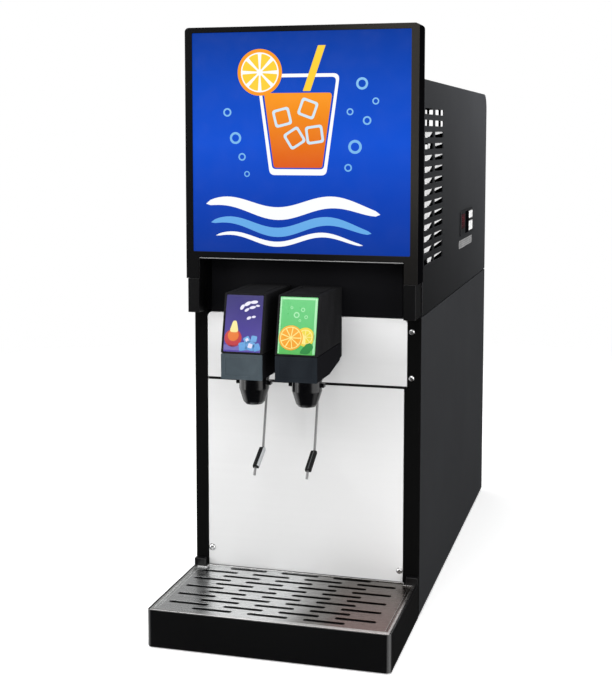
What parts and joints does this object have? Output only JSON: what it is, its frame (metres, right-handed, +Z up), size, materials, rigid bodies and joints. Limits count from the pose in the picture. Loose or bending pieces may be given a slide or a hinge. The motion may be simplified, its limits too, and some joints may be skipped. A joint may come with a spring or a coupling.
{
  "type": "fountain soda dispenser",
  "caption": "Counter-top post-mix drinks dispenser: lit header over a valve bay, push-lever valves, steel splash back and a drip tray.",
  "frame": {"origin": "bottom centre of the bounding box, on the counter the machine stands on", "axes": "+Z up, +X to the operator's right seen from the front, the drip tray and the valves towards -Y"},
  "size_m": [0.2826, 0.738, 0.699],
  "materials": {
    "black_steel": "satin black powder coat",
    "grey_steel": "dark grey enamel",
    "stainless": "brushed and polished stainless sheet",
    "zinc_steel": "galvanised sheet",
    "fin_aluminium": "bare aluminium fins",
    "copper": "drawn copper tube",
    "black_plastic": "fine moulded texture",
    "grey_plastic": "moulded",
    "rubber": "moulded rubber",
    "foam": "rigid foam",
    "sign_face": "backlit printed acrylic",
    "light_board": "white board with light strips",
    "card_violet": "printed card",
    "card_green": "printed card",
    "display": "dark red filter",
    "key_white": "moulded"
  },
  "bodies": {
    "housing": {"base_pan": "zinc_steel", "deck_plate": "zinc_steel", "control_box": "zinc_steel", "condenser": "fin_aluminium", "side_panel_left": "black_steel", "side_panel_right": "black_steel", "rear_panel": "black_steel", "hood_cover": "black_steel", "rear_grille": "black_steel", "sign_housing": "black_steel", "sign_bezel": "black_steel", "valve_apron": "black_steel", "compressor": "black_steel", "rubber_foot_front_left": "rubber", "rubber_foot_front_right": "rubber", "rubber_foot_rear_left": "rubber", "rubber_foot_rear_right": "rubber", "sign_panel": "sign_face", "sign_light_board": "light_board", "valve_plate": "grey_steel", "agitator_motor": "grey_steel", "fan_motor": "grey_steel", "water_pump": "grey_steel", "splash_panel_upper": "stainless", "splash_panel_lower": "stainless", "water_tank": "stainless", "carbonator_tank": "stainless", "inlet_fittings": "stainless", "mount_block_left": "black_plastic", "valve_body_left": "black_plastic", "diffuser_left": "grey_plastic", "solenoids_left": "grey_plastic", "lever_pin_left": "stainless", "mount_block_right": "black_plastic", "valve_body_right": "black_plastic", "diffuser_right": "grey_plastic", "solenoids_right": "grey_plastic", "lever_pin_right": "stainless", "controller_housing": "black_plastic", "mains_inlet": "black_plastic", "controller_display": "display", "insulation": "foam", "evaporator_coil": "copper"},
    "tray": {"drip_tray": "black_steel"},
    "grille": {"drip_grille": "stainless"},
    "fan": {"fan_rotor": "grey_plastic"},
    "agitator": {"agitator": "stainless"},
    "key_up": {"key_up": "key_white"},
    "key_down": {"key_down": "key_white"},
    "rocker": {"mains_switch": "black_plastic"},
    "lever_left": {"lever_arm_left": "stainless", "lever_pad_left": "rubber"},
    "nozzle_left": {"nozzle_left": "black_plastic"},
    "cover_left": {"valve_cover_left": "black_plastic"},
    "card_left": {"label_card_left": "card_violet"},
    "lever_right": {"lever_arm_right": "stainless", "lever_pad_right": "rubber"},
    "nozzle_right": {"nozzle_right": "black_plastic"},
    "cover_right": {"valve_cover_right": "black_plastic"},
    "card_right": {"label_card_right": "card_green"}
  },
  "joints": [
    {"name": "lever_left_swing", "type": "hinge", "parent": "housing", "child": "lever_left", "pos_m": [-0.0428, -0.227, 0.318], "axis": [1, 0, 0], "range_deg": [0, 12], "stiffness_Nm_per_rad": 0.8, "springref_deg": -6.88},
    {"name": "lever_right_swing", "type": "hinge", "parent": "housing", "child": "lever_right", "pos_m": [0.0202, -0.227, 0.318], "axis": [1, 0, 0], "range_deg": [0, 12], "stiffness_Nm_per_rad": 0.8, "springref_deg": -6.88},
    {"name": "nozzle_left_twist", "type": "hinge", "parent": "housing", "child": "nozzle_left", "pos_m": [-0.0428, -0.276, 0.3], "axis": [0, 0, 1], "range_deg": [0, 90]},
    {"name": "nozzle_right_twist", "type": "hinge", "parent": "housing", "child": "nozzle_right", "pos_m": [0.0202, -0.276, 0.3], "axis": [0, 0, 1], "range_deg": [0, 90]},
    {"name": "cover_left_lift", "type": "slide", "parent": "housing", "child": "cover_left", "axis": [0, 0, 1], "range_m": [0, 0.026]},
    {"name": "cover_right_lift", "type": "slide", "parent": "housing", "child": "cover_right", "axis": [0, 0, 1], "range_m": [0, 0.026]},
    {"name": "card_left_slide", "type": "slide", "parent": "cover_left", "child": "card_left", "axis": [0, 0.2384, 0.9712], "range_m": [0, 0.055]},
    {"name": "card_right_slide", "type": "slide", "parent": "cover_right", "child": "card_right", "axis": [0, 0.2384, 0.9712], "range_m": [0, 0.055]},
    {"name": "tray_slide", "type": "slide", "parent": "housing", "child": "tray", "axis": [0, -1, 0], "range_m": [0, 0.08]},
    {"name": "grille_lift", "type": "slide", "parent": "tray", "child": "grille", "axis": [0, 0, 1], "range_m": [0, 0.06]},
    {"name": "key_up_press", "type": "slide", "parent": "housing", "child": "key_up", "axis": [-1, 0, 0], "range_m": [0, 0.0012], "stiffness_N_per_m": 600, "springref_m": -0.001},
    {"name": "key_down_press", "type": "slide", "parent": "housing", "child": "key_down", "axis": [-1, 0, 0], "range_m": [0, 0.0012], "stiffness_N_per_m": 600, "springref_m": -0.001},
    {"name": "mains_rocker", "type": "hinge", "parent": "housing", "child": "rocker", "pos_m": [0.0907, 0.361, 0.32], "axis": [1, 0, 0], "range_deg": [0, 24]},
    {"name": "fan_spin", "type": "hinge", "parent": "housing", "child": "fan", "pos_m": [-0.0543, 0.275, 0.456], "axis": [0, 1, 0], "continuous": true},
    {"name": "agitator_spin", "type": "hinge", "parent": "housing", "child": "agitator", "pos_m": [-0.0013, -0.075, 0.3], "axis": [0, 0, 1], "continuous": true}
  ]
}
